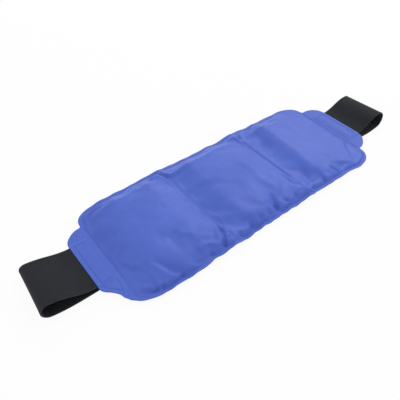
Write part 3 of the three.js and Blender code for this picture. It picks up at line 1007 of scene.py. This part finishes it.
def strapPath(side, radiusMore, reachMore):
    # tail up the tab's slope, a bezier to the loop's crest, a round turn, and back along the floor;
    # the path's points, the run along it, and the points where the strap's three pieces meet
    s, c = strap, cover
    bend, home = span("strap_bend_" + side), span("strap_return_" + side)
    reach = max(abs(bend[0][0]), abs(bend[1][0])) + reachMore
    radius = (span("strap_outer_" + side)[1][2] - s["thick"]) / 2 + radiusMore
    floorZ = s["thick"] / 2 + s["selvedge"]
    loopX, loopZ = reach - radius - s["thick"] / 2, radius + floorZ
    slope = c["tabRise"] / (c["tip"] - c["end"])
    samples = s["samples"]
    tailX = np.linspace(s["tailStart"], c["tip"] + s["pastTab"], samples["tail"])
    tail = np.stack([tailX, c["rimHeight"] + slope * (tailX - c["end"])], -1)
    start, crest = tail[-1], np.array([loopX, loopZ + radius])
    reachX = (crest[0] - start[0]) * s["handle"]
    t = np.linspace(0, 1, samples["rise"])[1:, None]
    inner, outer = start + [reachX, slope * reachX], crest - [reachX, 0]
    u = 1 - t
    climb = u ** 3 * start + 3 * u ** 2 * t * inner + 3 * u * t ** 2 * outer + t ** 3 * crest
    a = np.linspace(np.pi / 2, -np.pi / 2, samples["turn"])[1:]
    turn = np.stack([loopX + radius * np.cos(a), loopZ + radius * np.sin(a)], -1)
    freeEnd = min(abs(home[0][0]), abs(home[1][0]))
    backX = np.linspace(loopX, freeEnd, samples["back"])[1:]
    lift = max(0.0, span("loop_patch")[1][2] + s["patchClear"]) if side == "right" else 0.0
    rampX = span("loop_patch")[1][0] + s["rampLength"]
    back = np.stack([backX, floorZ + lift * smooth((rampX - backX) / s["rampLength"])], -1)
    parts = [tail, climb, turn, back]
    path = np.concatenate(parts)
    run = np.concatenate([[0], np.cumsum(np.hypot(*np.diff(path, axis=0).T))])
    ends = np.cumsum([len(part) for part in parts]) - 1
    marks = [run[ends[0]] + (run[ends[1]] - run[ends[0]]) * s["blendRise"], (run[ends[1]] + run[ends[2]]) / 2]
    places = np.linspace(0, run[-1], s["points"])
    even = np.stack([np.interp(places, run, path[:, k]) for k in (0, 1)], -1)
    return even, places, np.searchsorted(places, marks)


def strapRings(paths, sign, drift):
    # the strap's section between its near and its far path: flat faces, thicker woven edges, round
    # sides; drift moves each section across
    s = strap
    flat = s["half"] - s["thick"] / 2
    rows = flat * np.linspace(-1, 1, s["across"])
    woven = smooth((np.abs(rows) - flat + s["selvedgeWidth"]) / s["edgeEase"])
    thick = s["thick"] / 2 + s["selvedge"] * woven

    def face(offset, places):  # the two paths blended across the strap, moved along their normal
        far = (0.5 + sign * places / (2 * s["half"]))[None, :, None]
        spot = paths[0][:, None] * (1 - far) + paths[1][:, None] * far
        ahead = np.gradient(spot, axis=0)
        ahead = ahead / np.linalg.norm(ahead, axis=2, keepdims=True)
        away = np.stack([-ahead[..., 1], ahead[..., 0]], -1)
        spot = spot + away * offset[None, :, None]
        across = sign * np.broadcast_to(places, spot.shape[:2]) + drift[:, None]
        return np.stack([sign * spot[..., 0], across, spot[..., 1]], -1)

    roll = flat + s["thick"] / 2 * np.cos(rollTurns)
    edge = (s["thick"] / 2 + s["selvedge"]) * np.sin(rollTurns)
    return makeRings(face(thick, rows), face(-thick, rows), face(edge, roll), face(edge, -roll))


def buildStrap(side):
    # one ring stack from tail to free end, cut in three where its bodies meet; it wanders across by
    # a bell at the bend and another along the lower ply
    sign = 1 if side == "right" else -1
    shapes = strap[side]
    near, far = [strapPath(side, r, x) for r, x in zip(shapes["radius"], shapes["reach"])]
    marks = (near[2] + far[2]) // 2
    bendRun, lowerRun = near[1][marks[1]], near[1][marks[1]] + strap["wanderRun"][1]
    drift = shapes["wander"][0] * bell(near[1] - bendRun, strap["wanderRun"][0])
    drift = drift + shapes["wander"][1] * bell(near[1] - lowerRun, strap["wanderRun"][1])
    rings = strapRings((near[0], far[0]), sign, drift)
    normals = ringNormals(rings)
    count = len(rings)
    edgeRun = np.cumsum(np.concatenate([[0], np.linalg.norm(np.diff(rings[0], axis=0), axis=1)]))
    uv = np.stack(np.broadcast_arrays(edgeRun[None, :], near[1][:, None]), -1)
    ease = strap["edgeEase"]
    # where the woven edges get their painted highlight
    atEdge = smooth((np.abs(rings[0][:, 1] - drift[0]) - strap["half"] + ease) / ease)
    stops = [0, marks[0], marks[1], count - 1]
    made = []
    for name, a, b in zip(["strapTail", "strapUpper", "strapReturn"], stops[:-1], stops[1:]):
        cuts = [normals[i] if 0 < i < count - 1 else None for i in (a, b)]
        marks = {"edge": np.broadcast_to(atEdge, uv.shape[:2])[a:b + 1]}
        piece = solid(name + side.capitalize(), rings[a:b + 1], cuts, uv=uv[a:b + 1], marks=marks)
        dress(piece, "webbing")
        made.append(piece)
    return made


straps = {side: buildStrap(side) for side in ("left", "right")}
print("straps made")


# The patches by the straps' free ends, with a stitched line round each.
patch = {
    "endInset": 0.2, "sideInset": 0.4, "columns": 60, "rows": 50,
    "edgeShare": 0.72, "puffShare": 0.28, "softEdge": 1.6,
}
stitch = {
    # places along a stitch and its girth there; it is a little flat and dips at its ends
    "length": 2.8, "pitch": 3.8, "thread": 0.38, "sides": 6,
    "along": (-0.5, -0.36, 0.0, 0.36, 0.5), "girth": (0.45, 0.85, 1.0, 0.85, 0.45),
    "flat": 0.8, "dip": 0.3, "floorClear": 0.02,
}


def patchPiece(name, node, slotName):
    # a slab as long, wide and thick as its CAD node, thinner towards its edges by a smooth step
    p = patch
    low, high = span(node)
    xs = np.linspace(low[0] + p["endInset"], high[0] - p["endInset"], p["columns"])
    ys = np.linspace(low[1] + p["sideInset"], high[1] - p["sideInset"], p["rows"])
    gx, gy = np.meshgrid(xs, ys, indexing="ij")
    middle, half = (low[2] + high[2]) / 2, (high[2] - low[2]) / 2
    nearEdge = np.minimum(np.minimum(gx - low[0], high[0] - gx), np.minimum(gy - low[1], high[1] - gy))
    puff = half * (p["edgeShare"] + p["puffShare"] * smooth(nearEdge / p["softEdge"]))

    def roll(row, side):  # a half circle down one long side
        out = gy[:, row, None] + side * p["sideInset"] * np.cos(rollTurns)
        down = middle + puff[:, row, None] * np.sin(rollTurns)
        return np.stack([gx[:, row, None] + 0 * out, out, down], -1)

    top, bottom = np.stack([gx, gy, middle + puff], -1), np.stack([gx, gy, middle - puff], -1)
    piece = solid(name, makeRings(top, bottom, roll(-1, 1), roll(0, -1)))
    dress(piece, slotName)
    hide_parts(node)
    return piece


def stitchedLine(name, node, face):
    # short stitches end to end round a rectangle: six-sided, thickest in the middle, sunk at both ends
    low, high = span(node)
    p = stitch
    centre, corner = (low + high)[:2] / 2, (high - low)[:2] / 2 - p["thread"]
    runs = []
    for turnBy in range(4):
        half = corner if turnBy % 2 == 0 else corner[::-1]
        places = np.arange(-half[0] + p["pitch"] / 2, half[0], p["pitch"])
        spots = np.stack([places, np.full_like(places, -half[1])], -1)
        a = turnBy * np.pi / 2
        turnBack = np.array([[np.cos(a), np.sin(a)], [-np.sin(a), np.cos(a)]])
        runs.append((spots @ turnBack, a))
    t, size = np.array(p["along"]), np.array(p["girth"])
    sides, rounds = p["sides"], len(p["along"])
    a = np.arange(sides) * 2 * np.pi / sides
    body = np.stack([
        np.repeat(t * p["length"], sides),
        (size[:, None] * p["thread"] * np.cos(a)).ravel(),
        (size[:, None] * p["thread"] * np.sin(a) * p["flat"] - (1 - size[:, None]) * p["dip"] * face).ravel(),
    ], -1)
    points = []
    for spots, angle in runs:
        turned = body.copy()
        turned[:, 0], turned[:, 1] = (
            body[:, 0] * np.cos(angle) - body[:, 1] * np.sin(angle),
            body[:, 0] * np.sin(angle) + body[:, 1] * np.cos(angle),
        )
        heights = np.full((len(spots), 1), (low[2] + high[2]) / 2)
        placed = turned[None] + np.concatenate([spots + centre, heights], 1)[:, None]
        points.append(placed.reshape(-1, 3))
    points = np.concatenate(points)
    points[:, 2] = np.maximum(points[:, 2], p["floorClear"])
    startCap = np.array([[0, 1, 2, 3], [0, 3, 4, 5]])
    endCap = startCap[:, ::-1] + sides * (rounds - 1)
    faces = np.concatenate([ringQuads(rounds, sides), startCap, endCap])
    starts = np.arange(len(points) // (rounds * sides)) * rounds * sides
    quads = (faces[None] + starts[:, None, None]).reshape(-1, 4)
    piece = meshObject(name, points, quads)
    dress(piece, "thread")
    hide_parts(node)
    return piece


hookPatch = patchPiece("hookPatch", "hook_patch", "hook_tape")
loopPatch = patchPiece("loopPatch", "loop_patch", "loop_tape")
hookStitches = stitchedLine("hookPatchStitches", "hook_patch_stitching", 1)
loopStitches = stitchedLine("loopPatchStitches", "loop_patch_stitching", -1)
print("patches made")

# Each piece's transform is baked, the patches and their stitches ride on the straps' return
# bodies, and the CAD nodes that the pieces stand for are hidden.
flex = {
    # reaches to each side of each hinge, and how far places lie behind the loop's crest and
    # inside its outermost place, in millimetres; they are handed on, but nothing is bent with them
    "fold": 13.0, "tab": 7.0, "strap": 9.0, "loopBack": 4.0, "loopIn": 1.0,
}


def blendAcross(piece, inner, outer, joint, sign, reach):
    at, way = hinge(joint), np.array([sign * reach, 0, 0])
    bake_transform(piece)


coverEnds = {"left": (-1, covers[1], covers[0]), "right": (1, covers[2], covers[3])}
for side, (sign, foldPiece, endPiece) in coverEnds.items():
    blendAcross(foldPiece, "middle_panel", side + "_panel", side + "_fold", sign, flex["fold"])
    blendAcross(endPiece, side + "_panel", side + "_tab", side + "_tab_flex", sign, flex["tab"])
    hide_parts("cover_top_middle", "cover_bottom_middle", "gel_middle")
    panelNodes = [kind + side for kind in ("cover_top_", "cover_bottom_", "gel_")]
    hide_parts(*panelNodes, "tab_sheet_top_" + side, "tab_sheet_bottom_" + side)
    tail, upper, home = straps[side]
    blendAcross(tail, side + "_tab", side + "_strap", side + "_strap_swing", sign, flex["strap"])
    upperHinge, lowerHinge = hinge(side + "_loop_upper"), hinge(side + "_loop_lower")
    middleZ = (upperHinge[2] + lowerHinge[2]) / 2
    radius = math.sqrt(2) * (upperHinge[2] - middleZ)
    loopX = upperHinge[0] - sign * radius / math.sqrt(2)
    backX = loopX - sign * flex["loopBack"]
    crest, under = (backX, 0, middleZ + radius), (backX, 0, middleZ - radius)
    outermost = (loopX + sign * (radius - flex["loopIn"]), 0, middleZ)
    side + "_strap"
    side + "_strap_bend"
    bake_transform(upper)
    side + "_strap_bend"
    side + "_strap_return"
    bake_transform(home)
    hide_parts("strap_tail_" + side)
    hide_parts("strap_outer_" + side, "strap_bend_" + side)
    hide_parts("strap_return_" + side)
for piece in (hookPatch, hookStitches):
    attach(piece, "left_strap_return")
for piece in (loopPatch, loopStitches):
    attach(piece, "right_strap_return")
print("pieces placed on their bodies")

# The floor, the light and the camera.
stage = {"floorSize": 8.0, "floorTone": 0.90, "floorOwnLight": 0.93, "skyLight": 0.78}
shownRays = ("Is Glossy Ray", "Is Transmission Ray")  # these see the white background as the camera does


def stageFinish():
    # a white floor that keeps a soft share of the shadow where it is seen straight or in a reflection
    floor = Finish("floor")
    ray = floor.node("ShaderNodeLightPath")
    outputs = ray.socket.node.outputs
    seen = Wire(floor, outputs["Is Camera Ray"])
    for name in shownRays:
        seen = seen + Wire(floor, outputs[name])
    tone = rgba([stage["floorTone"]] * 3)
    lit = floor.node("ShaderNodeBsdfDiffuse", inputs={"Color": tone})
    bright = floor.node("ShaderNodeEmission", inputs={"Color": (1, 1, 1, 1), "Strength": 1.0})
    clamped = {"operation": "MULTIPLY", "use_clamp": True}
    ownLight = floor.node("ShaderNodeMath", clamped, [seen, stage["floorOwnLight"]])
    mixed = floor.node("ShaderNodeMixShader", inputs=[ownLight, lit, bright])
    floor.node("ShaderNodeOutputMaterial", inputs=[mixed])
    return floor.material


def makeFloor():
    half = stage["floorSize"] / 2 / mm
    corners = np.array([[-half, -half, 0], [half, -half, 0], [half, half, 0], [-half, half, 0]], float)
    floor = meshObject("floor", corners, np.array([[0, 1, 2, 3]]))
    floor.data.materials.append(stageFinish())


def makeWorld():  # an even sky that lights the wrap, white where it is seen
    world = bpy.data.worlds.new("studio")
    world.use_nodes = True
    tree = world.node_tree
    tree.nodes.clear()
    kinds = ("LightPath", "OutputWorld", "Background", "Background", "MixShader")
    path, output, sky, white, choose = [tree.nodes.new("ShaderNode" + kind) for kind in kinds]
    for background, strength in ((sky, stage["skyLight"]), (white, 1.0)):
        background.inputs["Strength"].default_value = strength
        background.inputs["Color"].default_value = (1, 1, 1, 1)
    seen = path.outputs["Is Camera Ray"]
    for name in shownRays:
        added = tree.nodes.new("ShaderNodeMath")
        added.operation, added.use_clamp = "ADD", True
        tree.links.new(seen, added.inputs[0])
        tree.links.new(path.outputs[name], added.inputs[1])
        seen = added.outputs[0]
    tree.links.new(seen, choose.inputs[0])
    tree.links.new(sky.outputs[0], choose.inputs[1])
    tree.links.new(white.outputs[0], choose.inputs[2])
    tree.links.new(choose.outputs[0], output.inputs[0])
    bpy.context.scene.world = world


lamps = {
    # place and size in metres, power in watts; each is aimed at the origin, under the wrap's middle
    "key": {"place": (1.45, 0.55, 1.4), "size": 1.1, "power": 12.0},
    "back": {"place": (0.75, 1.4, 0.5), "size": 0.9, "power": 3.0},
}


def makeLamp(name, values):
    lamp = bpy.data.lights.new(name, "AREA")
    lamp.shape, lamp.size, lamp.energy = "DISK", values["size"], values["power"]
    holder = bpy.data.objects.new(name, lamp)
    holder.location = values["place"]
    holder.rotation_euler = (-Vector(values["place"])).to_track_quat("-Z", "Y").to_euler()
    bpy.context.scene.collection.objects.link(holder)


camera = {
    # angles in degrees, distance and aim in metres, lens and sensor in millimetres
    "azimuth": -38.12, "elevation": 45.39, "distance": 0.5370, "aim": (-0.04537, 0.00691, 0.0),
    "lens": 40.13, "sensor": 36.0,
}


def makeCamera(values):
    a, e = math.radians(values["azimuth"]), math.radians(values["elevation"])
    back = Vector((math.sin(a) * math.cos(e), -math.cos(a) * math.cos(e), math.sin(e)))
    data = bpy.data.cameras.new("camera")
    data.lens, data.sensor_width = values["lens"], values["sensor"]
    holder = bpy.data.objects.new("camera", data)
    holder.location = Vector(values["aim"]) + back * values["distance"]
    holder.rotation_euler = back.to_track_quat("Z", "Y").to_euler()
    bpy.context.scene.collection.objects.link(holder)
    bpy.context.scene.camera = holder


makeFloor()
makeWorld()
for name, values in lamps.items():
    makeLamp(name, values)
makeCamera(camera)
bpy.context.scene.view_settings.view_transform = "Standard"

print("scene ready")
